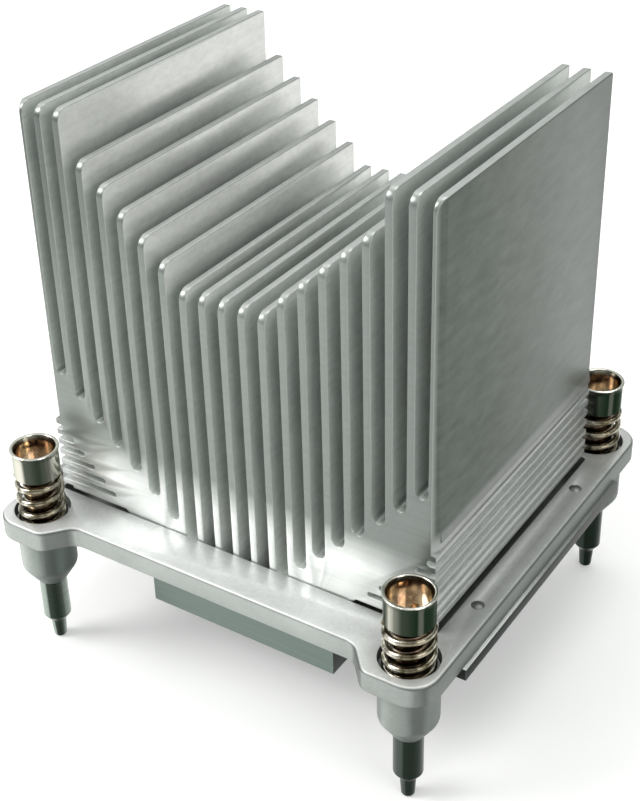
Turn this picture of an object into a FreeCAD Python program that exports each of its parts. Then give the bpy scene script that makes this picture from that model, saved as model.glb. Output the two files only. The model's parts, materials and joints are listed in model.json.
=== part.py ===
import FreeCAD, Part
import math
import os

# Passive heatsink for a server processor: one aluminium extrusion with a V of
# stepped fins, held in a die-cast frame with four captive spring screws.
# Millimetres, +Z up. X runs across the fins and Y along them. The origin is
# the middle of the heatsink, level with the tips of the four screws, on which
# it stands when it is off the board.

V = FreeCAD.Vector

# ---- Screw pattern and travel ----
SCREW_SPACING_X = 80.5
SCREW_SPACING_Y = 75.0
SCREW_TRAVEL = 4.0
RUN_FIT = 0.06          # radial clearance of the shaft in its guide hole

# ---- Frame ----
FRAME_T = 4.0
EAR_MARGIN_X = 6.85     # screw axis to the frame's outer edge
EAR_MARGIN_Y = 7.15
EAR_INNER = 5.15        # screw axis to the ear's inner side, at its tip
EAR_SLOPE = 4.5         # how much wider the ear is at its root
EAR_CORNER_R = 5.4
EAR_INNER_R = 3.0
EAR_ROOT_R = 3.5
END_RAIL_W = 8.95       # width of the front and back rails
FRAME_EDGE_R = 0.7
WINDOW_SIDE_GAP = 0.45  # window to the ribs' outer edges
WINDOW_END_GAP = 0.25   # window to the extrusion's end faces
WINDOW_CORNER_R = 1.0

# ---- Bosses under the ears ----
BOSS_R = 5.4
BOSS_H = 12.5
COLLAR_STEP = 0.2
COLLAR_H = 2.0
TAPER_H = 3.8
TAPER_END_R = 2.9
SHOULDER_R = 2.2
GUIDE_LEN = 6.6
POCKET_R = 5.4
POCKET_DEPTH = 2.5
BORE_GAP = 0.3          # radial gap between the neck and the boss's bore

# ---- Captive screws ----
HEAD_R = 4.4
HEAD_H = 5.8
HEAD_LIFT = 8.2         # head's underside above the frame
HEAD_FLOOR = 1.4
CUP_WALL = 0.65
LIP_R = 4.65            # the head's wall flares to this radius at its lip
LIP_H = 1.1
RIM_R = 0.22
NECK_R = 3.15
NECK_SPARE = 1.5
SHAFT_R = 2.0
RECESS_SPAN = 4.6
RECESS_W = 1.1
RECESS_DEPTH = 2.0

# ---- Studs on the ends of the screws ----
STUD_R = 2.7
STUD_LEN = 14.9
PILOT_R = 1.5
PILOT_LEN = 4.2
PILOT_END_R = 1.25
PILOT_ROUND = 0.6
POINT_H = 1.7
SPIGOT_R = 1.2          # spigot on the stud's top, in the end of the screw
SPIGOT_LEN = 4.0
SPIGOT_SPARE = 0.2

# ---- Springs ----
WIRE_D = 1.2
SPRING_R = 4.7          # outside radius of the coil
SPRING_PITCH = 2.9
CLOSED_TURNS = 0.75
CLOSED_PITCH = 1.27
SPRING_SEAT = 0.04

# ---- Extrusion ----
SCREW_TO_STACK = 7.25   # screw axis to the extrusion's end face
FIN_COUNT = 21
FIN_PITCH = 4.0
FIN_T = 1.4
LOW_FINS = 5            # middle fins, all of one height
TALL_FINS = 3           # full-height fins on each side
LOW_H = 71.1            # heights above the foot's face
TALL_H = 98.4
FIRST_STEP = 4.1
FIN_STEP = 3.72
FRONT_CORNER_R = 2.2
BACK_CORNER_R = 0.5
EDGE_FLAT_X = 0.8       # flat on the two outer fins' front edges
EDGE_FLAT_Y = 2.0
BASE_T = 12.7
ARM_T = 13.6            # height of the sloping arm, flank to gap floor
FOOT_HALF_W = 20.5
FOOT_DROP = 15.1        # foot's face below the frame's underside
FLANK_DROP = 0.5        # where the 45 degree flank leaves the foot
RIB_COUNT = 7
RIB_PITCH = 2.29
RIB_T = 1.2
RIB_GAP = 1.1           # lowest rib above the frame
RIB_PROUD = 0.3
ARM_GAP = 0.55          # arm's underside above the frame
ARM_INSET = 2.0         # its outer side, in from the outer fins' faces
ROOT_GAP = 1.6          # top rib to the thicker root of the outer fin
ROOT_H = 0.3
ROOT_TAPER_H = 2.1

# ---- Clamp bars and rivets ----
BAR_T = 2.3
BAR_PROUD = 0.7         # ledge of the bar outside the frame
BAR_END_GAP = 0.3       # bar's end to the bosses' collars
GROOVE_DEPTH = 3.0
GROOVE_FIT = 0.1
BAR_TIP_GAP = 0.3
RIVET_INSET = 3.3       # rivet axis to the frame's outer edge
RIVET_SPACING = 40.0
RIVET_R = 0.9
RIVET_FIT = 0.05
RIVET_HEAD_R = 1.2
RIVET_HEAD_H = 0.35

# ---- Levels ----
Z_BOSS_END = STUD_LEN
Z_UNDER = Z_BOSS_END + BOSS_H
Z_TOP = Z_UNDER + FRAME_T
Z_POCKET = Z_TOP - POCKET_DEPTH
Z_GUIDE = Z_BOSS_END + GUIDE_LEN
Z_NECK_END = Z_GUIDE + SCREW_TRAVEL + NECK_SPARE
Z_HEAD = Z_TOP + HEAD_LIFT
Z_HEAD_TOP = Z_HEAD + HEAD_H
Z_FOOT = Z_UNDER - FOOT_DROP
Z_FLANK = Z_UNDER - FLANK_DROP
Z_BASE = Z_FOOT + BASE_T
Z_GROOVE = Z_UNDER - BAR_T
Z_RIB = Z_TOP + RIB_GAP
Z_ARM = Z_TOP + ARM_GAP

# ---- Plan sizes ----
SCREW_X = SCREW_SPACING_X / 2
SCREW_Y = SCREW_SPACING_Y / 2
EXT_HALF_L = SCREW_Y - SCREW_TO_STACK
FIN_SIDE = FIN_COUNT // 2
STACK_HALF_W = FIN_SIDE * FIN_PITCH + FIN_T / 2
RIB_HALF_W = STACK_HALF_W + RIB_PROUD
FRAME_HALF_X = SCREW_X + EAR_MARGIN_X
EAR_HALF_Y = SCREW_Y + EAR_MARGIN_Y
WINDOW_HALF_X = RIB_HALF_W + WINDOW_SIDE_GAP
WINDOW_HALF_Y = EXT_HALF_L + WINDOW_END_GAP
RAIL_HALF_Y = WINDOW_HALF_Y + END_RAIL_W

CORNERS = {
    "front_left": (-SCREW_X, -SCREW_Y),
    "front_right": (SCREW_X, -SCREW_Y),
    "back_left": (-SCREW_X, SCREW_Y),
    "back_right": (SCREW_X, SCREW_Y),
}


def flank_x(z):
    """Half width of the core at height z, on its 45 degree flank."""
    return FOOT_HALF_W + z - Z_FLANK


def gap_floor(x):
    """Height of the bottom of a fin gap centred at x."""
    return max(Z_FLANK + abs(x) - FOOT_HALF_W + ARM_T, Z_BASE)


def fin_top(n):
    """Height of the top of fin n, counted from the middle one."""
    low_side = LOW_FINS // 2
    if n <= low_side:
        return Z_FOOT + LOW_H
    if n > FIN_SIDE - TALL_FINS:
        return Z_FOOT + TALL_H
    return Z_FOOT + LOW_H + FIRST_STEP + FIN_STEP * (n - low_side - 1)


def section_edges(steps, y=0.0):
    """Edges of a section in the XZ plane, through a list of steps.

    Each step is (x, z) for a straight line, or (mid x, mid z, x, z) for an arc.
    """
    here = V(steps[0][-2], y, steps[0][-1])
    edges = []
    for step in steps[1:]:
        there = V(step[-2], y, step[-1])
        if len(step) == 4:
            edge = Part.Arc(here, V(step[0], y, step[1]), there).toShape()
        else:
            edge = Part.makeLine(here, there)
        edges.append(edge)
        here = there
    return edges


def spin(steps, x=0.0, y=0.0):
    """Solid of revolution about a vertical axis, from a section's steps."""
    face = Part.Face(Part.Wire(section_edges(steps + steps[:1])))
    solid = face.revolve(V(0, 0, 0), V(0, 0, 1), 360)
    solid.translate(V(x, y, 0))
    return solid


def rod(r, z1, z2, x=0.0, y=0.0):
    return Part.makeCylinder(r, z2 - z1, V(x, y, z1))


def box(x1, x2, y1, y2, z1, z2):
    return Part.makeBox(x2 - x1, y2 - y1, z2 - z1, V(x1, y1, z1))


def rounded_outline(corners, z):
    """Closed wire through (x, y, radius) corners, with the corners rounded."""
    count = len(corners)
    edges = []
    starts = []
    ends = []
    arcs = []
    for i in range(count):
        here = V(corners[i][0], corners[i][1], z)
        before = V(corners[i - 1][0], corners[i - 1][1], z)
        after = V(corners[(i + 1) % count][0], corners[(i + 1) % count][1], z)
        to_before = (before - here).normalize()
        to_after = (after - here).normalize()
        half = to_before.getAngle(to_after) / 2
        radius = corners[i][2]
        cut = radius / math.tan(half)
        bisector = (to_before + to_after).normalize()
        centre = here + bisector * (radius / math.sin(half))
        start = here + to_before * cut
        end = here + to_after * cut
        middle = centre - bisector * radius
        starts.append(start)
        ends.append(end)
        arcs.append(Part.Arc(start, middle, end).toShape())
    for i in range(count):
        edges.append(arcs[i])
        edges.append(Part.makeLine(ends[i], starts[(i + 1) % count]))
    return Part.Wire(edges)


# ---- The extrusion's section ----

def half_section():
    """Right half of the die's outline, from the foot's middle to the middle fin."""
    steps = [(0.0, Z_FOOT), (FOOT_HALF_W, Z_FOOT), (FOOT_HALF_W, Z_GROOVE - GROOVE_FIT / 2)]
    groove_x = FOOT_HALF_W - GROOVE_DEPTH
    groove_top = Z_UNDER + GROOVE_FIT / 2
    steps.append((groove_x, Z_GROOVE - GROOVE_FIT / 2))
    steps.append((groove_x, groove_top))
    steps.append((flank_x(groove_top), groove_top))
    arm_x = STACK_HALF_W - ARM_INSET
    steps.append((flank_x(Z_ARM), Z_ARM))
    steps.append((arm_x, Z_ARM))
    steps.append((arm_x, Z_RIB))
    slot_r = (RIB_PITCH - RIB_T) / 2
    for i in range(RIB_COUNT):
        low = Z_RIB + i * RIB_PITCH
        high = low + RIB_T
        steps.append((RIB_HALF_W, low))
        steps.append((RIB_HALF_W, high))
        if i == RIB_COUNT - 1:
            break
        middle = high + slot_r
        end_x = flank_x(middle)
        if RIB_HALF_W - end_x > 2 * slot_r:
            steps.append((end_x + slot_r, high))
            steps.append((end_x, middle, end_x + slot_r, high + 2 * slot_r))
        elif RIB_HALF_W > end_x:
            steps.append((end_x, high))
            steps.append((end_x, high + 2 * slot_r))
    root = high + ROOT_GAP
    steps.append((STACK_HALF_W, high))
    steps.append((STACK_HALF_W, root))
    steps.append((RIB_HALF_W, root))
    steps.append((RIB_HALF_W, root + ROOT_H))
    steps.append((STACK_HALF_W, root + ROOT_H + ROOT_TAPER_H))
    gap_r = (FIN_PITCH - FIN_T) / 2
    for n in range(FIN_SIDE, 0, -1):
        right = n * FIN_PITCH + FIN_T / 2
        left = right - FIN_T
        steps.append((right, fin_top(n)))
        steps.append((left, fin_top(n)))
        gap_x = left - gap_r
        floor = gap_floor(gap_x)
        steps.append((left, floor + gap_r))
        steps.append((gap_x, floor, gap_x - gap_r, floor + gap_r))
    steps.append((FIN_T / 2, fin_top(0)))
    steps.append((0.0, fin_top(0)))
    return steps


def extrusion_section():
    edges = section_edges(half_section(), -EXT_HALF_L)
    mirrored = [edge.mirror(V(0, 0, 0), V(1, 0, 0)) for edge in edges]
    return Part.Face(Part.Wire(Part.__sortEdges__(edges + mirrored)))


def fin_corner_edges(solid, y):
    """The short edges across the fins' tops, at one end of the extrusion."""
    tops = [fin_top(n) for n in range(FIN_SIDE + 1)]
    found = []
    for edge in solid.Edges:
        b = edge.BoundBox
        across = abs(b.XLength - FIN_T) < 0.01 and b.YLength < 0.01 and b.ZLength < 0.01
        at_top = any(abs(b.ZMin - top) < 0.01 for top in tops)
        if across and at_top and abs(b.YMin - y) < 0.01:
            found.append(edge)
    return found


def make_extrusion():
    solid = extrusion_section().extrude(V(0, 2 * EXT_HALF_L, 0))
    # The two halves' faces meet at x = 0, on the foot and the middle fin.
    solid = solid.removeSplitter()
    solid = solid.makeFillet(FRONT_CORNER_R, fin_corner_edges(solid, -EXT_HALF_L))
    solid = solid.makeFillet(BACK_CORNER_R, fin_corner_edges(solid, EXT_HALF_L))
    # The outer fins' front edges are taken off at an angle, above the ribs.
    flat_z = Z_RIB + (RIB_COUNT - 1) * RIB_PITCH + RIB_T
    for side in (-1, 1):
        outer = side * STACK_HALF_W
        cut = [
            V(outer - side * EDGE_FLAT_X, -EXT_HALF_L, flat_z),
            V(outer, -EXT_HALF_L + EDGE_FLAT_Y, flat_z),
            V(outer + side, -EXT_HALF_L + EDGE_FLAT_Y, flat_z),
            V(outer + side, -EXT_HALF_L - 1, flat_z),
            V(outer - side * EDGE_FLAT_X, -EXT_HALF_L - 1, flat_z),
        ]
        face = Part.Face(Part.makePolygon(cut + cut[:1]))
        solid = solid.cut(face.extrude(V(0, 0, Z_FOOT + TALL_H - flat_z + 1)))
    return solid


# ---- The die-cast frame ----

def frame_corners():
    """Outline of the frame: a rectangle with an ear at each corner."""
    root_x = SCREW_X - EAR_INNER - EAR_SLOPE
    tip_x = SCREW_X - EAR_INNER
    quarter = [
        (root_x, RAIL_HALF_Y, EAR_ROOT_R),
        (tip_x, EAR_HALF_Y, EAR_INNER_R),
        (FRAME_HALF_X, EAR_HALF_Y, EAR_CORNER_R),
    ]
    corners = [(x, -y, r) for x, y, r in quarter]
    corners += [(x, y, r) for x, y, r in reversed(quarter)]
    corners += [(-x, y, r) for x, y, r in quarter]
    corners += [(-x, -y, r) for x, y, r in reversed(quarter)]
    return corners


def boss_solid(x, y):
    """Boss under an ear, with its collar, rounded shoulder and taper."""
    slope = math.atan2(BOSS_R - TAPER_END_R, TAPER_H)
    centre_r = BOSS_R - SHOULDER_R
    centre_z = Z_BOSS_END + TAPER_H + SHOULDER_R * math.tan(slope / 2)
    middle_r = centre_r + SHOULDER_R * math.cos(slope / 2)
    middle_z = centre_z - SHOULDER_R * math.sin(slope / 2)
    end_r = centre_r + SHOULDER_R * math.cos(slope)
    end_z = centre_z - SHOULDER_R * math.sin(slope)
    steps = [
        (0, Z_UNDER + FRAME_T / 2),
        (BOSS_R + COLLAR_STEP, Z_UNDER + FRAME_T / 2),
        (BOSS_R + COLLAR_STEP, Z_UNDER - COLLAR_H),
        (BOSS_R, Z_UNDER - COLLAR_H),
        (BOSS_R, centre_z),
        (middle_r, middle_z, end_r, end_z),
        (TAPER_END_R, Z_BOSS_END),
        (0, Z_BOSS_END),
    ]
    return spin(steps, x, y)


def make_frame():
    outline = rounded_outline(frame_corners(), Z_UNDER)
    frame = Part.Face(outline).extrude(V(0, 0, FRAME_T))
    rim = [e for e in frame.Edges if e.BoundBox.ZMin > Z_TOP - 0.01]
    frame = frame.makeFillet(FRAME_EDGE_R, rim)
    for x, y in CORNERS.values():
        frame = frame.fuse(boss_solid(x, y))
    for x, y in CORNERS.values():
        frame = frame.cut(rod(POCKET_R, Z_POCKET, Z_TOP + 1, x, y))
        frame = frame.cut(rod(NECK_R + BORE_GAP, Z_GUIDE, Z_TOP, x, y))
        frame = frame.cut(rod(SHAFT_R + RUN_FIT, Z_BOSS_END - 1, Z_TOP, x, y))
    turns = ((1, -1), (1, 1), (-1, 1), (-1, -1))
    window = [(i * WINDOW_HALF_X, j * WINDOW_HALF_Y, WINDOW_CORNER_R) for i, j in turns]
    hole = Part.Face(rounded_outline(window, Z_UNDER - 1)).extrude(V(0, 0, FRAME_T + 2))
    frame = frame.cut(hole)
    for x, y in rivet_places():
        frame = frame.cut(rod(RIVET_R + RIVET_FIT, Z_UNDER - 1, Z_TOP + 1, x, y))
    return frame.removeSplitter()


# ---- Clamp bars under the side rails, and their rivets ----

def rivet_places(sides=(-1, 1)):
    x = FRAME_HALF_X - RIVET_INSET
    return [(side * x, end * RIVET_SPACING / 2) for side in sides for end in (-1, 1)]


def make_bar(side):
    inner = FOOT_HALF_W - GROOVE_DEPTH + BAR_TIP_GAP
    outer = FRAME_HALF_X + BAR_PROUD
    half_y = SCREW_Y - BOSS_R - COLLAR_STEP - BAR_END_GAP
    x1, x2 = sorted((side * inner, side * outer))
    bar = box(x1, x2, -half_y, half_y, Z_GROOVE, Z_UNDER)
    for x, y in rivet_places((side,)):
        bar = bar.cut(rod(RIVET_R + RIVET_FIT, Z_GROOVE - 1, Z_UNDER + 1, x, y))
    return bar


def make_rivet(x, y):
    """Rivet with a low round head on each end."""
    dome_r = (RIVET_HEAD_R ** 2 + RIVET_HEAD_H ** 2) / (2 * RIVET_HEAD_H)
    half_turn = math.asin(RIVET_HEAD_R / dome_r) / 2
    middle_r = dome_r * math.sin(half_turn)
    middle_h = RIVET_HEAD_H - dome_r * (1 - math.cos(half_turn))
    steps = [
        (0, Z_GROOVE - RIVET_HEAD_H),
        (middle_r, Z_GROOVE - middle_h, RIVET_HEAD_R, Z_GROOVE),
        (RIVET_R, Z_GROOVE),
        (RIVET_R, Z_TOP),
        (RIVET_HEAD_R, Z_TOP),
        (middle_r, Z_TOP + middle_h, 0, Z_TOP + RIVET_HEAD_H),
    ]
    return spin(steps, x, y)


# ---- Captive screws ----

def make_screw(x, y):
    """Screw with an open cup for a head, down to the stud in the shaft's end."""
    floor = Z_HEAD + HEAD_FLOOR
    cup_r = HEAD_R - CUP_WALL
    lip_in = LIP_R - CUP_WALL
    rounding = RIM_R * (1 - math.sqrt(0.5))
    spigot_top = Z_BOSS_END + SPIGOT_LEN + SPIGOT_SPARE
    steps = [
        (0, floor),
        (cup_r, floor),
        (cup_r, Z_HEAD_TOP - LIP_H),
        (lip_in, Z_HEAD_TOP - RIM_R),
        (lip_in + rounding, Z_HEAD_TOP - rounding, lip_in + RIM_R, Z_HEAD_TOP),
        (LIP_R - RIM_R, Z_HEAD_TOP),
        (LIP_R - rounding, Z_HEAD_TOP - rounding, LIP_R, Z_HEAD_TOP - RIM_R),
        (HEAD_R, Z_HEAD_TOP - LIP_H),
        (HEAD_R, Z_HEAD),
        (NECK_R, Z_HEAD),
        (NECK_R, Z_NECK_END),
        (SHAFT_R, Z_NECK_END),
        (SHAFT_R, Z_BOSS_END),
        (SPIGOT_R, Z_BOSS_END),
        (SPIGOT_R, spigot_top),
        (0, spigot_top),
    ]
    screw = spin(steps, x, y)
    span = RECESS_SPAN / 2
    half_w = RECESS_W / 2
    low = floor - RECESS_DEPTH
    screw = screw.cut(box(x - span, x + span, y - half_w, y + half_w, low, floor + 0.1))
    screw = screw.cut(box(x - half_w, x + half_w, y - span, y + span, low, floor + 0.1))
    return screw


def make_stud(x, y):
    """Stud pressed into the screw's end, with a point that finds the board's hole."""
    rounding = PILOT_ROUND * (1 - math.sqrt(0.5))
    steps = [
        (0, 0),
        (PILOT_END_R - PILOT_ROUND, 0),
        (PILOT_END_R - rounding, rounding, PILOT_END_R, PILOT_ROUND),
        (PILOT_R, PILOT_LEN),
        (STUD_R, PILOT_LEN + POINT_H),
        (STUD_R, Z_BOSS_END),
        (SPIGOT_R, Z_BOSS_END),
        (SPIGOT_R, Z_BOSS_END + SPIGOT_LEN),
        (0, Z_BOSS_END + SPIGOT_LEN),
    ]
    return spin(steps, x, y)


# ---- Springs ----

def spring_path(z1, z2):
    """Points along the wire's centre: close turns at both ends, open between."""
    radius = SPRING_R - WIRE_D / 2
    closed_rise = CLOSED_TURNS * CLOSED_PITCH
    open_rise = z2 - z1 - 2 * closed_rise
    open_turns = open_rise / SPRING_PITCH
    turns = 2 * CLOSED_TURNS + open_turns
    per_turn = 16
    count = int(round(turns * per_turn))
    points = []
    for i in range(count + 1):
        t = turns * i / count
        if t < CLOSED_TURNS:
            z = z1 + t * CLOSED_PITCH
        elif t > turns - CLOSED_TURNS:
            z = z2 - (turns - t) * CLOSED_PITCH
        else:
            z = z1 + closed_rise + (t - CLOSED_TURNS) * SPRING_PITCH
        angle = 2 * math.pi * t + math.pi
        points.append(V(radius * math.cos(angle), radius * math.sin(angle), z))
    return points


def make_spring():
    low = Z_POCKET + SPRING_SEAT + WIRE_D / 2
    high = Z_HEAD - SPRING_SEAT - WIRE_D / 2
    points = spring_path(low, high)
    curve = Part.BSplineCurve()
    curve.interpolate(points)
    path = Part.Wire(curve.toShape())
    start = curve.tangent(curve.FirstParameter)[0]
    ring = Part.Wire(Part.makeCircle(WIRE_D / 2, points[0], start))
    return path.makePipeShell([ring], True, True)


# ---- All pieces ----

def make_parts():
    parts = {}
    parts["fin_extrusion"] = make_extrusion()
    parts["retention_frame"] = make_frame()
    for name, side in (("left", -1), ("right", 1)):
        parts["clamp_bar_" + name] = make_bar(side)
    for name, (x, y) in CORNERS.items():
        side_x = math.copysign(FRAME_HALF_X - RIVET_INSET, x)
        end_y = math.copysign(RIVET_SPACING / 2, y)
        parts["bar_rivet_" + name] = make_rivet(side_x, end_y)
    spring = make_spring()
    for name, (x, y) in CORNERS.items():
        parts["captive_screw_" + name] = make_screw(x, y)
        parts["screw_stud_" + name] = make_stud(x, y)
        placed = spring.copy()
        placed.translate(V(x, y, 0))
        parts["screw_spring_" + name] = placed
    return parts


os.makedirs("parts", exist_ok=True)
for node, shape in make_parts().items():
    shape.exportStep("parts/" + node + ".step")
    box_size = shape.BoundBox
    print(node, "solids", len(shape.Solids), "valid", shape.isValid(), "volume", round(shape.Volume, 1),
          "z", round(box_size.ZMin, 2), round(box_size.ZMax, 2))
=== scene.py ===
import json
import math

import bpy
from mathutils import Matrix, Vector

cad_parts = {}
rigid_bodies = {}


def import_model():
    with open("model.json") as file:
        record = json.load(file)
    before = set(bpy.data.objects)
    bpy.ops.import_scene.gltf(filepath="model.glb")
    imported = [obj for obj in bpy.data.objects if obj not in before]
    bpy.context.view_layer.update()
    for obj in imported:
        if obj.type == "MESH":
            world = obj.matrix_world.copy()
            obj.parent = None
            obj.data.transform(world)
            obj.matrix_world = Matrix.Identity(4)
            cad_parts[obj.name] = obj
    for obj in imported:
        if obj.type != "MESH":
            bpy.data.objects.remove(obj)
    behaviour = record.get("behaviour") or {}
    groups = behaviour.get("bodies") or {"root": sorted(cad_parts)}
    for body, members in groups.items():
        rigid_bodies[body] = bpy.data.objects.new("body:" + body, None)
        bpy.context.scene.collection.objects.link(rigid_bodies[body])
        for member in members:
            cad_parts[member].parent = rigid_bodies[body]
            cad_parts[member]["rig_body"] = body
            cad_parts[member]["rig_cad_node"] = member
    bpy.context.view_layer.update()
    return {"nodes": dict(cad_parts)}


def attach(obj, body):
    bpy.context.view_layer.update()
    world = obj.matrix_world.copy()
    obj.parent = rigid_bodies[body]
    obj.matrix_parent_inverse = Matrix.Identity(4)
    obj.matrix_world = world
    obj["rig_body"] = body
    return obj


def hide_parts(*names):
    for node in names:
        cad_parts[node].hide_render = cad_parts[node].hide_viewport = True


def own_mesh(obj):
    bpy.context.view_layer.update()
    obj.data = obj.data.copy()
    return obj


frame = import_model()


# ---- Camera -------------------------------------------------------------
# A long lens looks down on the heatsink from its front right corner, tilted
# a little to one side. It stands 0.3 m off, and its shift centres the view.

camera_place = (0.13213, -0.20086, 0.20011)
azimuth, elevation, roll = math.radians(34.67), math.radians(30.82), math.radians(-2.16)
back = Vector((
    math.sin(azimuth) * math.cos(elevation),
    -math.cos(azimuth) * math.cos(elevation),
    math.sin(elevation),
))
right = Vector((math.cos(azimuth), math.sin(azimuth), 0.0))
up = back.cross(right)
rolled_right = math.cos(roll) * right + math.sin(roll) * up
rolled_up = math.cos(roll) * up - math.sin(roll) * right

camera_data = bpy.data.cameras.new("camera")
camera = bpy.data.objects.new("camera", camera_data)
bpy.context.scene.collection.objects.link(camera)
turn = Matrix((rolled_right, rolled_up, back)).transposed().to_4x4()
camera.matrix_world = Matrix.Translation(camera_place) @ turn
camera_data.lens = 67.2
camera_data.sensor_width = 36.0
camera_data.shift_x = 0.0339
camera_data.shift_y = -0.0474
camera_data.clip_start = 0.01
camera_data.clip_end = 20.0
bpy.context.scene.camera = camera
bpy.context.scene.view_settings.view_transform = "Standard"


# ---- Floor, world and lamps ---------------------------------------------
# A pale matt table top under a plain studio. The table is level with the
# screw tips, and its shadow stays on it.

def material_tree(name):
    """New node material: returns it with its nodes, links and Principled BSDF."""
    material = bpy.data.materials.new(name)
    material.use_nodes = True
    nodes = material.node_tree.nodes
    return material, nodes, material.node_tree.links, nodes["Principled BSDF"]


def combine(nodes, links, operation, first, second):
    """Result of one operation on two values."""
    node = nodes.new("ShaderNodeMath")
    node.operation = operation
    links.new(first, node.inputs[0])
    links.new(second, node.inputs[1])
    return node.outputs[0]


def deselect():
    """Nothing selected, so that the next operator acts only on what is picked."""
    bpy.ops.object.select_all(action="DESELECT")


table_size = 6.0
table_glow = 0.30
deselect()
bpy.ops.mesh.primitive_plane_add(size=table_size, location=(0, 0, 0))
floor = bpy.context.active_object
floor.name = "floor"
floor_material, nodes, links, shader = material_tree("pale_table")
shader.inputs["Base Color"].default_value = (0.82, 0.82, 0.81, 1)
shader.inputs["Roughness"].default_value = 0.9
shader.inputs["Specular IOR Level"].default_value = 0.1
glow = nodes.new("ShaderNodeEmission")
glow.inputs["Color"].default_value = (table_glow, table_glow, table_glow, 1)
path = nodes.new("ShaderNodeLightPath")
seen = combine(nodes, links, "MAXIMUM", path.outputs["Is Camera Ray"], path.outputs["Is Glossy Ray"])
seen = combine(nodes, links, "MAXIMUM", seen, path.outputs["Is Transmission Ray"])
links.new(seen, glow.inputs["Strength"])
both = nodes.new("ShaderNodeAddShader")
links.new(shader.outputs[0], both.inputs[0])
links.new(glow.outputs[0], both.inputs[1])
links.new(both.outputs[0], nodes["Material Output"].inputs["Surface"])
floor.data.materials.append(floor_material)

world = bpy.data.worlds.new("studio")
bpy.context.scene.world = world
world.use_nodes = True
nodes, links = world.node_tree.nodes, world.node_tree.links
nodes.clear()
place = nodes.new("ShaderNodeTexCoord")
towards = nodes.new("ShaderNodeVectorMath")
towards.operation = "DOT_PRODUCT"
towards.inputs[1].default_value = (-0.40, -0.20, 0.89)
ramp = nodes.new("ShaderNodeValToRGB")
ramp.color_ramp.elements[0].position = 0.0
ramp.color_ramp.elements[0].color = (0.24, 0.27, 0.25, 1)
ramp.color_ramp.elements[1].position = 0.85
ramp.color_ramp.elements[1].color = (0.78, 0.79, 0.78, 1)
room = nodes.new("ShaderNodeBackground")
end = nodes.new("ShaderNodeOutputWorld")
links.new(place.outputs["Generated"], towards.inputs[0])
links.new(towards.outputs["Value"], ramp.inputs[0])
links.new(ramp.outputs[0], room.inputs["Color"])
links.new(room.outputs[0], end.inputs[0])


def lamp(name, place, size, power):
    """Square soft white lamp aimed at the middle of the heatsink."""
    data = bpy.data.lights.new(name, "AREA")
    data.size = size
    data.energy = power
    light = bpy.data.objects.new(name, data)
    bpy.context.scene.collection.objects.link(light)
    place = Vector(place)
    aim = (middle - place).to_track_quat("-Z", "Y")
    light.matrix_world = Matrix.Translation(place) @ aim.to_matrix().to_4x4()


middle = Vector((0, 0, 0.05))
lamp("key", (-0.72, -0.52, 0.80), 0.5, 8.2)
lamp("top", (0.10, 0.30, 1.10), 0.6, 3.6)
lamp("fill", (0.80, -0.30, 0.45), 0.5, 2.2)


# ---- Fin extrusion ------------------------------------------------------
# The fins, ribs and foot are one aluminium extrusion. The die leaves fine lines along it and the saw fine
# lines across its cut ends. Its outer faces, cut ends, fin walls, grooves and crests carry painted light
# and shade. Its edges are broken by tumbling.

def split_xyz(nodes, links, vector):
    """Outputs X, Y and Z of a vector."""
    split = nodes.new("ShaderNodeSeparateXYZ")
    links.new(vector, split.inputs[0])
    return split.outputs


def unsigned(nodes, links, vector):
    """A vector with the minus signs of its parts taken off."""
    node = nodes.new("ShaderNodeVectorMath")
    node.operation = "ABSOLUTE"
    links.new(vector, node.inputs[0])
    return node.outputs[0]


def range_mask(nodes, links, value, start, end, low=0.0, high=1.0):
    """A ramp from low, where the value is start, to high, where it is end."""
    mask = nodes.new("ShaderNodeMapRange")
    mask.inputs["From Min"].default_value = start
    mask.inputs["From Max"].default_value = end
    mask.inputs["To Min"].default_value = low
    mask.inputs["To Max"].default_value = high
    links.new(value, mask.inputs["Value"])
    return mask.outputs["Result"]


def group_tree(name, inputs, outputs):
    """New shader node group with float, vector or colour sockets."""
    tree = bpy.data.node_groups.new(name, "ShaderNodeTree")
    for label, kind, value in inputs:
        socket = tree.interface.new_socket(label, in_out="INPUT", socket_type=kind)
        socket.default_value = value
    for label, kind in outputs:
        tree.interface.new_socket(label, in_out="OUTPUT", socket_type=kind)
    return tree, tree.nodes.new("NodeGroupInput"), tree.nodes.new("NodeGroupOutput")


def faces_group():
    """Masks of the ends, the upper faces and the broken edges, by the surface's direction."""
    tree, _, out = group_tree("face_masks", [], [
        ("End", "NodeSocketFloat"),
        ("Up", "NodeSocketFloat"),
        ("Edge", "NodeSocketFloat"),
    ])
    nodes, links = tree.nodes, tree.links
    normal = nodes.new("ShaderNodeTexCoord").outputs["Normal"]
    facing = split_xyz(nodes, links, normal)
    size = split_xyz(nodes, links, unsigned(nodes, links, normal))
    links.new(range_mask(nodes, links, size["Y"], 0.6, 0.8), out.inputs["End"])
    links.new(range_mask(nodes, links, facing["Z"], 0.6, 0.8), out.inputs["Up"])
    largest = combine(nodes, links, "MAXIMUM", size["X"], size["Y"])
    largest = combine(nodes, links, "MAXIMUM", largest, size["Z"])
    links.new(range_mask(nodes, links, largest, 0.92, 0.80), out.inputs["Edge"])
    return tree


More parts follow.
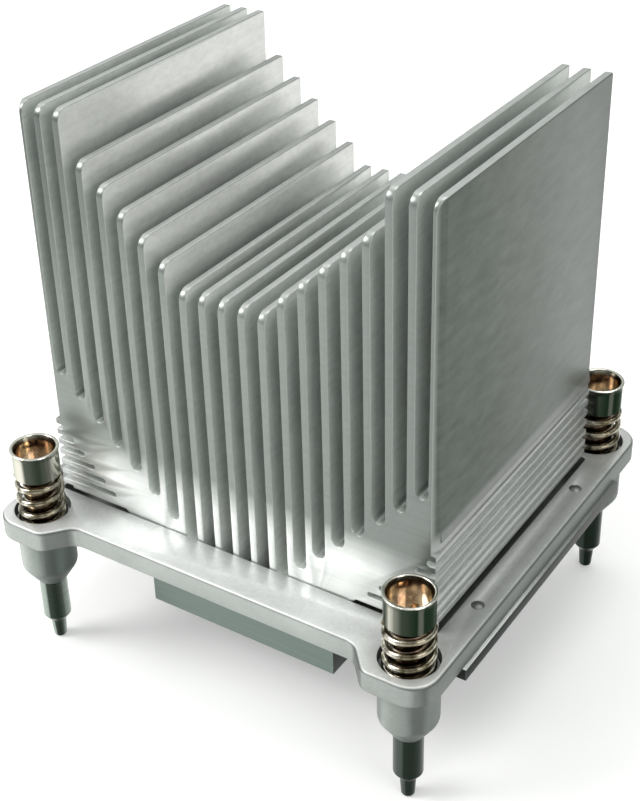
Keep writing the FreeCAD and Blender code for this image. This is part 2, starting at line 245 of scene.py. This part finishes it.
def grain_group():
    """Noise stretched along one direction, as a factor round 1 and as a height."""
    tree, given, out = group_tree("stretched_grain", [
        ("Stretch", "NodeSocketVector", (1, 1, 1)),
        ("Scale", "NodeSocketFloat", 100.0),
        ("Low", "NodeSocketFloat", 0.9),
        ("High", "NodeSocketFloat", 1.1),
    ], [("Factor", "NodeSocketFloat"), ("Height", "NodeSocketFloat")])
    nodes, links = tree.nodes, tree.links
    place = nodes.new("ShaderNodeTexCoord")
    stretched = nodes.new("ShaderNodeVectorMath")
    stretched.operation = "MULTIPLY"
    links.new(place.outputs["Object"], stretched.inputs[0])
    links.new(given.outputs["Stretch"], stretched.inputs[1])
    noise = nodes.new("ShaderNodeTexNoise")
    noise.inputs["Detail"].default_value = 3.0
    noise.inputs["Roughness"].default_value = 0.6
    links.new(stretched.outputs[0], noise.inputs["Vector"])
    links.new(given.outputs["Scale"], noise.inputs["Scale"])
    spread = nodes.new("ShaderNodeMapRange")
    spread.inputs["From Min"].default_value = 0.3
    spread.inputs["From Max"].default_value = 0.7
    links.new(noise.outputs[0], spread.inputs["Value"])
    links.new(given.outputs["Low"], spread.inputs["To Min"])
    links.new(given.outputs["High"], spread.inputs["To Max"])
    links.new(spread.outputs["Result"], out.inputs["Factor"])
    links.new(noise.outputs[0], out.inputs["Height"])
    return tree


face_masks = faces_group()
stretched_grain = grain_group()


def add_group(nodes, tree, **values):
    """A shader node group placed in a material, with its own values."""
    node = nodes.new("ShaderNodeGroup")
    node.node_tree = tree
    for label, value in values.items():
        node.inputs[label].default_value = value
    return node


def mix_colour(nodes, links, factor, first, second):
    """Mix of two colours; each is an RGBA tuple or an output socket."""
    mix = nodes.new("ShaderNodeMix")
    mix.data_type = "RGBA"
    links.new(factor, mix.inputs["Factor"])
    for socket, value in ((mix.inputs[6], first), (mix.inputs[7], second)):
        if isinstance(value, tuple):
            socket.default_value = value
        else:
            links.new(value, socket)
    return mix.outputs[2]


def scaled(nodes, links, colour, *factors):
    """A colour made lighter or darker by one or more factors."""
    for factor in factors:
        scale = nodes.new("ShaderNodeVectorMath")
        scale.operation = "SCALE"
        links.new(colour, scale.inputs[0])
        links.new(factor, scale.inputs["Scale"])
        colour = scale.outputs[0]
    return colour


def tone_ramp(nodes, links, value, stops, tint=(1.0, 1.02, 1.0)):
    """Smooth row of tones over a value from 0 to 1."""
    node = nodes.new("ShaderNodeValToRGB")
    node.color_ramp.interpolation = "EASE"
    steps = node.color_ramp.elements
    steps.remove(steps[1])
    steps[0].position = stops[0][0]
    for position, _ in stops[1:]:
        steps.new(position)
    for step, (_, tone) in zip(steps, stops):
        step.color = (tone * tint[0], tone * tint[1], tone * tint[2], 1)
    links.new(value, node.inputs[0])
    return node.outputs[0]


def bump(nodes, links, shader, height, strength, distance):
    """Fine relief from a height."""
    node = nodes.new("ShaderNodeBump")
    node.inputs["Strength"].default_value = strength
    node.inputs["Distance"].default_value = distance
    links.new(height, node.inputs["Height"])
    links.new(node.outputs[0], shader.inputs["Normal"])


def finished_copy(node, edge_width):
    """Merged, smooth copy of a CAD node, its sharp edges broken by edge_width, if any."""
    sharp = math.radians(35)
    merge_distance = 0.000002
    flat_within = math.radians(0.5)
    deselect()
    source = frame["nodes"][node]
    bpy.context.view_layer.objects.active = source
    source.select_set(True)
    bpy.ops.object.duplicate()
    piece = bpy.context.active_object
    piece.name = node + "_finished"
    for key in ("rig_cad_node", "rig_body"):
        del piece[key]
    piece.parent = None
    bpy.ops.object.mode_set(mode="EDIT")
    bpy.ops.mesh.select_all(action="SELECT")
    bpy.ops.mesh.remove_doubles(threshold=merge_distance)
    bpy.ops.mesh.dissolve_limited(angle_limit=flat_within)
    bpy.ops.object.mode_set(mode="OBJECT")
    if edge_width > 0:
        rounding = piece.modifiers.new("broken_edges", "BEVEL")
        rounding.width = edge_width
        rounding.segments = 2
        rounding.limit_method = "ANGLE"
        rounding.angle_limit = sharp
        rounding.harden_normals = False
        bpy.ops.object.modifier_apply(modifier=rounding.name)
    bpy.ops.object.shade_smooth_by_angle(angle=sharp)
    piece.data.materials.clear()
    return piece


extrusion = finished_copy("fin_extrusion", edge_width=0.00018)
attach(extrusion, "heatsink")
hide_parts("fin_extrusion")

material, nodes, links, shader = material_tree("extruded_aluminium")
masks = add_group(nodes, face_masks)
die_lines = add_group(nodes, stretched_grain, Stretch=(1, 0.01, 1), Scale=1400.0, Low=0.96, High=1.04)
clouds = add_group(nodes, stretched_grain, Stretch=(1, 0.6, 1), Scale=70.0, Low=0.93, High=1.07)
speckle = add_group(nodes, stretched_grain, Stretch=(1, 0.45, 1), Scale=1100.0, Low=0.93, High=1.07)
saw_lines = add_group(nodes, stretched_grain, Stretch=(0.03, 1, 1), Scale=1500.0, Low=0.95, High=1.05)
place = nodes.new("ShaderNodeTexCoord")
signed = split_xyz(nodes, links, place.outputs["Object"])
size = split_xyz(nodes, links, unsigned(nodes, links, place.outputs["Object"]))
# Places, in metres: the outer faces above the ribs, and the ribs' crests.
outer = range_mask(nodes, links, size["X"], 0.03975, 0.03985)
above = range_mask(nodes, links, signed["Z"], 0.0485, 0.0515)
panel = combine(nodes, links, "MULTIPLY", outer, above)
upright = range_mask(nodes, links, masks.outputs["Up"], 1.0, 0.0)
outside = scaled(nodes, links, panel, upright)
ribs = range_mask(nodes, links, size["X"], 0.04075, 0.04090)
# The cut ends carry painted light and reflection: one row of tones across their foot and a darker one
# across the fins.
across = range_mask(nodes, links, signed["X"], -0.041, 0.041)
low_end = tone_ramp(nodes, links, across, (
    (0.00, 0.58), (0.06, 0.77), (0.12, 0.94), (0.15, 0.98), (0.21, 0.80), (0.28, 0.71), (0.36, 0.74),
    (0.50, 0.76), (0.70, 0.84), (0.80, 0.99), (0.86, 0.85), (0.93, 0.45), (1.00, 0.52),
))
high_end = tone_ramp(nodes, links, across, (
    (0.00, 0.18), (0.06, 0.18), (0.12, 0.21), (0.18, 0.24), (0.28, 0.27), (0.50, 0.27), (0.75, 0.25),
    (0.92, 0.22), (1.00, 0.20),
), tint=(0.95, 1.03, 0.97))
# Painted shade and light: the left fins' ends are darker towards their tips and lighter near their roots.
on_left = range_mask(nodes, links, signed["X"], -0.004, -0.012)
near_tip = range_mask(nodes, links, signed["Z"], 0.075, 0.093)
tip_tone = range_mask(nodes, links, scaled(nodes, links, on_left, near_tip), 0.0, 1.0, 1.0, 0.77)
far_left = range_mask(nodes, links, signed["X"], -0.020, -0.032)
near_root = range_mask(nodes, links, signed["Z"], 0.098, 0.055)
root_tone = range_mask(nodes, links, scaled(nodes, links, far_left, near_root), 0.0, 1.0, 1.0, 1.55)
high_end = scaled(nodes, links, high_end, tip_tone, root_tone)
# Painted reflection: the ends are lighter near the frame, as if they mirrored the rails' tops, and painted
# shade darkens the foot's end under the frame.
near_frame = range_mask(nodes, links, signed["Z"], 0.0465, 0.0395)
below = range_mask(nodes, links, signed["Z"], 0.0290, 0.0270)
cut = mix_colour(nodes, links, near_frame, high_end, low_end)
cut = mix_colour(nodes, links, below, cut, (0.19, 0.245, 0.222, 1))
cut = scaled(nodes, links, cut, saw_lines.outputs["Factor"])
# Painted shade: the outer faces above the ribs are darkened all over, with a mottle of grain in it.
grain_and_sheen = add_group(nodes, stretched_grain, Stretch=(1, 0.30, 1), Scale=520.0, Low=0.0, High=1.0)
panel_shade_dark, panel_shade_light = (0.066, 0.080, 0.068, 1), (0.099, 0.114, 0.101, 1)
panel_shade = mix_colour(nodes, links, grain_and_sheen.outputs["Factor"], panel_shade_dark, panel_shade_light)
# Painted shade: a fin's wall is darker where the next fin stands over it, and so is every wall that faces
# outwards, but hardly at all low down in the gaps. The next fin's top, for a wall that faces the middle,
# rises with the distance from there.
facing = split_xyz(nodes, links, place.outputs["Normal"])
turned_out = combine(nodes, links, "MULTIPLY", signed["X"], facing["X"])
outward = range_mask(nodes, links, turned_out, 0.0002, 0.0005)
low_fin_top, last_step_top, tall_fin_rise = 0.0834, 0.1024, 0.0090
steps = range_mask(nodes, links, size["X"], 0.0113, 0.0313, low_fin_top, last_step_top)
tall_fins = range_mask(nodes, links, size["X"], 0.0330, 0.0340, 0.0, tall_fin_rise)
next_top = combine(nodes, links, "ADD", steps, tall_fins)
over = combine(nodes, links, "SUBTRACT", signed["Z"], next_top)
hidden = range_mask(nodes, links, over, -0.0008, -0.0024)
covered = combine(nodes, links, "MAXIMUM", hidden, outward)
gap_low = range_mask(nodes, links, signed["Z"], 0.046, 0.034)
gap_wall = mix_colour(nodes, links, gap_low, (0.530, 0.560, 0.535, 1), (0.74, 0.76, 0.74, 1))
walls = mix_colour(nodes, links, covered, (0.75, 0.755, 0.735, 1), gap_wall)
# The grooves between the ribs, with painted shade in the recess under the fins' root, and the crests'
# painted light and shade from the frame upwards.
under_root = range_mask(nodes, links, signed["Z"], 0.0466, 0.0474)
groove = mix_colour(nodes, links, under_root, (0.70, 0.715, 0.70, 1), (0.32, 0.33, 0.32, 1))
grooves = mix_colour(nodes, links, outer, walls, groove)
rib_level = range_mask(nodes, links, signed["Z"], 0.032, 0.050)
crest = tone_ramp(nodes, links, rib_level, (
    (0.06, 0.50), (0.19, 0.60), (0.32, 0.50), (0.44, 0.37), (0.57, 0.35), (0.70, 0.33), (0.82, 0.38),
    (0.90, 0.20), (1.00, 0.20),
))
skin = mix_colour(nodes, links, outside, grooves, panel_shade)
skin = mix_colour(nodes, links, ribs, skin, crest)
# Painted shade: the foot's sides under the frame are nearly black.
skin = mix_colour(nodes, links, below, skin, (0.018, 0.024, 0.021, 1))
on_fins = range_mask(nodes, links, signed["Z"], 0.079, 0.081)
fin_tops = scaled(nodes, links, masks.outputs["Up"], on_fins)
skin = mix_colour(nodes, links, fin_tops, skin, (0.55, 0.565, 0.55, 1))
grains = [grain.outputs["Factor"] for grain in (die_lines, clouds, speckle)]
skin = scaled(nodes, links, skin, *grains)
colour = mix_colour(nodes, links, masks.outputs["End"], skin, cut)
# Painted shade: the broken edges above the ribs are darker, which dims their highlights.
edge_shade = scaled(nodes, links, masks.outputs["Edge"], above)
colour = mix_colour(nodes, links, edge_shade, colour, (0.30, 0.32, 0.30, 1))
links.new(colour, shader.inputs["Base Color"])
shader.inputs["Metallic"].default_value = 0.6
shader.inputs["Roughness"].default_value = 0.34
bump(nodes, links, shader, die_lines.outputs["Height"], strength=0.12, distance=0.00003)
extrusion.data.materials.append(material)


# ---- Retention frame ----------------------------------------------------
# One die casting in aluminium, blasted to a fine even grain: rails round the
# extrusion, an ear at each corner and a boss under each ear.

casting = finished_copy("retention_frame", edge_width=0.0002)
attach(casting, "heatsink")
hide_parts("retention_frame")

material, nodes, links, shader = material_tree("cast_aluminium")
masks = add_group(nodes, face_masks)
blasting = add_group(nodes, stretched_grain, Scale=1800.0, Low=0.94, High=1.06)
patches = add_group(nodes, stretched_grain, Scale=110.0, Low=0.92, High=1.08)
place = nodes.new("ShaderNodeTexCoord")
signed = split_xyz(nodes, links, place.outputs["Object"])
size = split_xyz(nodes, links, unsigned(nodes, links, place.outputs["Object"]))
facing = split_xyz(nodes, links, place.outputs["Normal"])
plate = range_mask(nodes, links, signed["Z"], 0.0268, 0.0276)
wall = scaled(nodes, links, masks.outputs["End"], plate)
# Painted light and shade: each boss is lighter where it faces left and darker where it faces right, the end
# walls and end-rail tops on the right are darker than on the left, the end rails' tops are lighter than the
# side rails', and the plate and rails are lighter.
turned_right = range_mask(nodes, links, facing["X"], -0.75, 0.75)
on_right = range_mask(nodes, links, signed["X"], 0.025, 0.040)
right_boss = mix_colour(nodes, links, turned_right, (0.385, 0.42, 0.395, 1), (0.160, 0.178, 0.166, 1))
left_boss = mix_colour(nodes, links, turned_right, (0.60, 0.64, 0.615, 1), (0.105, 0.130, 0.115, 1))
boss = mix_colour(nodes, links, on_right, left_boss, right_boss)
boss = mix_colour(nodes, links, plate, boss, (0.185, 0.200, 0.190, 1))
front = mix_colour(nodes, links, on_right, (0.42, 0.445, 0.425, 1), (0.33, 0.35, 0.335, 1))
colour = mix_colour(nodes, links, wall, boss, front)
end_rail = range_mask(nodes, links, size["Y"], 0.0285, 0.0325)
end_top = mix_colour(nodes, links, on_right, (0.80, 0.81, 0.80, 1), (0.66, 0.67, 0.65, 1))
top = mix_colour(nodes, links, end_rail, (0.48, 0.49, 0.475, 1), end_top)
colour = mix_colour(nodes, links, masks.outputs["Up"], colour, top)
# Painted shade: the broken edges are darker.
edge_tone = range_mask(nodes, links, masks.outputs["Edge"], 0.0, 1.0, 1.0, 0.55)
colour = scaled(nodes, links, colour, blasting.outputs["Factor"], patches.outputs["Factor"], edge_tone)
links.new(colour, shader.inputs["Base Color"])
shader.inputs["Metallic"].default_value = 0.55
shader.inputs["Roughness"].default_value = 0.46
bump(nodes, links, shader, blasting.outputs["Height"], strength=0.25, distance=0.00004)
casting.data.materials.append(material)


# ---- Clamp bars ---------------------------------------------------------
# Two flat steel bars under the side rails, dark plated. Their inner edges
# hook into the grooves of the foot and hold the extrusion to the frame.

material, nodes, links, shader = material_tree("bar_steel")
rolling = add_group(nodes, stretched_grain, Stretch=(1, 0.02, 1), Scale=900.0, Low=0.85, High=1.15)
stains = add_group(nodes, stretched_grain, Scale=160.0, Low=0.85, High=1.15)
masks = add_group(nodes, face_masks)
# Painted highlight: the bars' tops and broken edges are much lighter than their dark sides.
grain_and_sheen = combine(nodes, links, "MAXIMUM", masks.outputs["Up"], masks.outputs["Edge"])
colour = mix_colour(nodes, links, grain_and_sheen, (0.0110, 0.0130, 0.0120, 1), (0.38, 0.395, 0.38, 1))
colour = scaled(nodes, links, colour, rolling.outputs["Factor"], stains.outputs["Factor"])
links.new(colour, shader.inputs["Base Color"])
shader.inputs["Metallic"].default_value = 0.8
shader.inputs["Roughness"].default_value = 0.4
bump(nodes, links, shader, rolling.outputs["Height"], strength=0.3, distance=0.00003)
for side in ("left", "right"):
    bar = finished_copy("clamp_bar_" + side, edge_width=0.0002)
    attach(bar, "heatsink")
    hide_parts("clamp_bar_" + side)
    bar.data.materials.append(material)


# ---- Bar rivets ---------------------------------------------------------
# Four small plated rivets through the side rails and bars, two a side, with
# low round heads pressed over at both ends.

def coat(kind, material):
    """Gives a material to each CAD node of one kind."""
    for name, piece in frame["nodes"].items():
        if name.startswith(kind):
            piece.data.materials.clear()
            piece.data.materials.append(material)


material, nodes, links, shader = material_tree("rivet_metal")
scuffs = add_group(nodes, stretched_grain, Scale=1500.0, Low=0.7, High=1.2)
base = nodes.new("ShaderNodeRGB")
base.outputs[0].default_value = (0.20, 0.21, 0.20, 1)
links.new(scaled(nodes, links, base.outputs[0], scuffs.outputs["Factor"]), shader.inputs["Base Color"])
shader.inputs["Metallic"].default_value = 1.0
shader.inputs["Roughness"].default_value = 0.42
bump(nodes, links, shader, scuffs.outputs["Height"], strength=0.2, distance=0.00003)
coat("bar_rivet", material)


# ---- Captive screws -----------------------------------------------------
# Turned steel screws with an open cup for a head, bright nickel plated. The
# plating is warm and a little copper shows inside the cup.

def turned_angle(nodes, links):
    """Direction that the surface faces in plan, from 0 to 1 round a turned piece."""
    facing = split_xyz(nodes, links, nodes.new("ShaderNodeTexCoord").outputs["Normal"])
    angle = combine(nodes, links, "ARCTAN2", facing["Y"], facing["X"])
    return range_mask(nodes, links, angle, -math.pi, math.pi)


# Painted reflections: light and dark stripes up the plated wall, as a bright round wall shows the room, on
# the screws of the right side and of the left side.
right_reflection_bands = (
    (0.000, 0.30), (0.060, 0.60), (0.100, 0.02), (0.150, 0.03), (0.175, 0.30), (0.195, 0.75), (0.215, 0.50),
    (0.240, 0.20), (0.290, 0.03), (0.376, 0.00), (0.390, 0.10), (0.408, 0.10), (0.424, 0.00), (0.610, 0.00),
    (0.640, 0.30), (0.660, 0.60), (0.700, 0.10), (0.820, 0.04), (0.860, 0.80), (0.930, 0.60), (1.000, 0.30),
)
left_reflection_bands = (
    (0.000, 0.30), (0.060, 0.90), (0.150, 1.00), (0.215, 1.00), (0.255, 0.92), (0.290, 0.08), (0.385, 0.02),
    (0.420, 0.06), (0.455, 0.16), (0.490, 0.70), (0.520, 0.85), (0.590, 1.00), (0.640, 0.85), (0.700, 0.10),
    (0.820, 0.04), (0.860, 0.80), (0.930, 0.60), (1.000, 0.30),
)
material, nodes, links, shader = material_tree("screw_nickel")
turn = turned_angle(nodes, links)
right_tone = tone_ramp(nodes, links, turn, right_reflection_bands, tint=(1, 1, 1))
left_tone = tone_ramp(nodes, links, turn, left_reflection_bands, tint=(1, 1, 1))
blots = add_group(nodes, stretched_grain, Scale=700.0, Low=-0.3, High=1.3)
place = nodes.new("ShaderNodeTexCoord")
signed = split_xyz(nodes, links, place.outputs["Object"])
facing = split_xyz(nodes, links, place.outputs["Normal"])
screw_axis = (0.04025, 0.0375, 0.0)
centred = nodes.new("ShaderNodeVectorMath")
centred.operation = "SUBTRACT"
centred.inputs[1].default_value = screw_axis
links.new(unsigned(nodes, links, place.outputs["Object"]), centred.inputs[0])
flat = nodes.new("ShaderNodeVectorMath")
flat.operation = "MULTIPLY"
flat.inputs[1].default_value = (1, 1, 0)
links.new(centred.outputs[0], flat.inputs[0])
radius = nodes.new("ShaderNodeVectorMath")
radius.operation = "LENGTH"
links.new(flat.outputs[0], radius.inputs[0])
# The inside of the cup, the rim with a painted highlight, the shank in the spring painted with the same
# stripes in brown, and the shaft below.
within = range_mask(nodes, links, radius.outputs["Value"], 0.00390, 0.00378)
upper = range_mask(nodes, links, signed["Z"], 0.0390, 0.0396)
cup = combine(nodes, links, "MULTIPLY", within, upper)
rim = range_mask(nodes, links, facing["Z"], 0.10, 0.45)
on_left = range_mask(nodes, links, signed["X"], 0.001, -0.001)
sides = mix_colour(nodes, links, on_left, right_tone, left_tone)
plating_and_reflections = mix_colour(nodes, links, sides, (0.008, 0.018, 0.009, 1), (0.74, 0.72, 0.63, 1))
under_head = range_mask(nodes, links, signed["Z"], 0.0394, 0.0390)
in_spring = range_mask(nodes, links, signed["Z"], 0.0255, 0.0265)
shank = scaled(nodes, links, under_head, in_spring)
brown = mix_colour(nodes, links, sides, (0.16, 0.115, 0.085, 1), (0.62, 0.54, 0.45, 1))
in_boss = range_mask(nodes, links, signed["Z"], 0.0265, 0.0255)
plating_and_reflections = mix_colour(nodes, links, in_boss, plating_and_reflections, (0.36, 0.37, 0.34, 1))
plating_and_reflections = mix_colour(nodes, links, shank, plating_and_reflections, brown)
plating_and_reflections = mix_colour(nodes, links, rim, plating_and_reflections, (0.82, 0.80, 0.72, 1))
# Painted highlights in streaks round the inside of the cup and painted shade just below its lip, over a
# copper stain with a mottle.
cup_bands = tone_ramp(nodes, links, turn, (
    (0.00, 0.30), (0.10, 0.25), (0.17, 0.45), (0.205, 0.95), (0.245, 0.95), (0.280, 0.40), (0.330, 0.22),
    (0.400, 0.22), (0.440, 0.65), (0.475, 0.95), (0.510, 0.45), (0.560, 0.20), (0.640, 0.20), (1.00, 0.30),
), tint=(1, 1, 1))
around = range_mask(nodes, links, turn, 0.20, 0.50)
stain = mix_colour(nodes, links, around, (0.42, 0.35, 0.20, 1), (0.44, 0.25, 0.17, 1))
near_lip = range_mask(nodes, links, signed["Z"], 0.0438, 0.0450, 1.0, 0.30)
mottle = range_mask(nodes, links, blots.outputs["Factor"], 0.0, 1.0, 0.80, 1.15)
copper_and_painted_light = mix_colour(nodes, links, cup_bands, stain, (0.95, 0.86, 0.70, 1))
copper_and_painted_light = scaled(nodes, links, copper_and_painted_light, near_lip, mottle)
colour = mix_colour(nodes, links, cup, plating_and_reflections, copper_and_painted_light)
links.new(colour, shader.inputs["Base Color"])
shader.inputs["Metallic"].default_value = 1.0
shader.inputs["Roughness"].default_value = 0.16
shader.inputs["Specular Tint"].default_value = (0.60, 0.64, 0.60, 1)
bump(nodes, links, shader, blots.outputs["Height"], strength=0.05, distance=0.00003)
coat("captive_screw", material)


# ---- Screw studs --------------------------------------------------------
# Steel studs pressed into the ends of the screws, smooth, with a narrow pilot that finds the standoff under
# the board. Their colour is a painted reflection: nearly black with light stripes, lighter on the left
# screws.

material, nodes, links, shader = material_tree("stud_steel")
bands = tone_ramp(nodes, links, turned_angle(nodes, links), left_reflection_bands, tint=(1, 1, 1))
turning = add_group(nodes, stretched_grain, Stretch=(0.05, 0.05, 1), Scale=2500.0, Low=0.85, High=1.15)
signed = split_xyz(nodes, links, nodes.new("ShaderNodeTexCoord").outputs["Object"])
on_left = range_mask(nodes, links, signed["X"], 0.001, -0.001)
bright = mix_colour(nodes, links, on_left, (0.060, 0.078, 0.066, 1), (0.34, 0.40, 0.355, 1))
colour = mix_colour(nodes, links, bands, (0.006, 0.013, 0.008, 1), bright)
links.new(scaled(nodes, links, colour, turning.outputs["Factor"]), shader.inputs["Base Color"])
shader.inputs["Metallic"].default_value = 0.9
shader.inputs["Roughness"].default_value = 0.25
bump(nodes, links, shader, turning.outputs["Height"], strength=0.3, distance=0.00002)
coat("screw_stud", material)


# ---- Screw springs ------------------------------------------------------
# Spring wire, nickel plated like the screws. Each spring stands in the pocket of its ear and gets a mesh of
# its own.

material, nodes, links, shader = material_tree("spring_wire")
wear = add_group(nodes, stretched_grain, Stretch=(1, 1, 0.4), Scale=520.0, Low=-0.3, High=1.3)
# Painted reflections: the wire takes the left screws' light and dark stripes, with darker random patches of
# wear over them.
bands = tone_ramp(nodes, links, turned_angle(nodes, links), left_reflection_bands, tint=(1, 1, 1))
light = mix_colour(nodes, links, bands, (0.34, 0.30, 0.22, 1), (0.82, 0.78, 0.68, 1))
colour = mix_colour(nodes, links, wear.outputs["Factor"], (0.10, 0.085, 0.05, 1), light)
links.new(colour, shader.inputs["Base Color"])
shader.inputs["Metallic"].default_value = 1.0
shader.inputs["Roughness"].default_value = 0.2
bump(nodes, links, shader, wear.outputs["Height"], strength=0.1, distance=0.00003)
for corner in ("front_left", "front_right", "back_left", "back_right"):
    spring = finished_copy("screw_spring_" + corner, edge_width=0)
    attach(spring, "heatsink")
    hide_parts("screw_spring_" + corner)
    spring.data.materials.append(material)
    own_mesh(spring)
